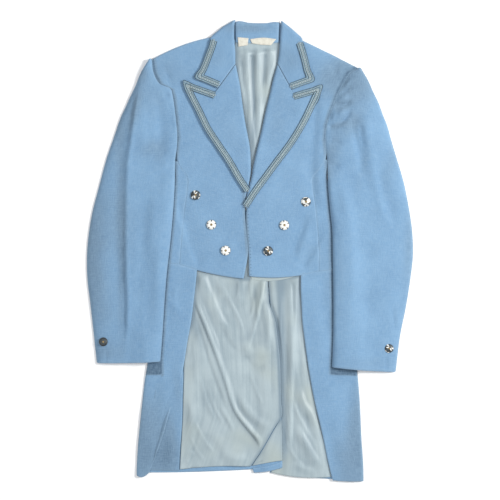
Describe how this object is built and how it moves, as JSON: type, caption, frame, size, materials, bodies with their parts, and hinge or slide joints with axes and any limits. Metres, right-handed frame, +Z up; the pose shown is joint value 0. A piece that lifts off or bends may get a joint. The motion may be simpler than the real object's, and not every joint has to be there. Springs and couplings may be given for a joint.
{
  "type": "formal tailcoat, laid flat",
  "caption": "Pale blue double-breasted tailcoat with braid-edged peaked lapels, metal buttons and lined tails, laid flat front up.",
  "frame": {"origin": "middle of the coat's outline, on the surface it lies on", "axes": "+Z up from the surface, +Y towards the collar, +X towards the wearer's left"},
  "size_m": [0.6806, 0.967, 0.0167],
  "materials": {
    "cloth": "matte",
    "lining": "satin",
    "braid": "metallic thread",
    "label": "matte",
    "button": "polished"
  },
  "bodies": {
    "root": {"forepart_right": "cloth", "forepart_left": "cloth", "side_right": "cloth", "side_left": "cloth", "skirt_right": "cloth", "skirt_left": "cloth", "back_right": "cloth", "back_left": "cloth", "topsleeve_right": "cloth", "topsleeve_left": "cloth", "undersleeve_right": "cloth", "undersleeve_left": "cloth", "lapel_right": "cloth", "lapel_left": "cloth", "collar_right": "cloth", "collar_left": "cloth", "collar_back": "cloth", "collar_stand": "cloth", "tail_facing_right": "cloth", "hem_turnup_right": "cloth", "lining_neck": "lining", "lining_tail_right": "lining", "lining_tail_left": "lining", "lining_vent_corner": "lining", "lining_front_left": "lining", "braid_lapel_right": "braid", "braid_lapel_left": "braid", "braid_collar_right": "braid", "braid_collar_left": "braid", "neck_label": "label", "neck_tab": "label", "button_front_1": "button", "button_front_2": "button", "button_front_3": "button", "button_front_4": "button", "button_front_5": "button", "button_front_6": "button", "button_cuff_right": "button", "button_cuff_left": "button"}
  },
  "joints": []
}
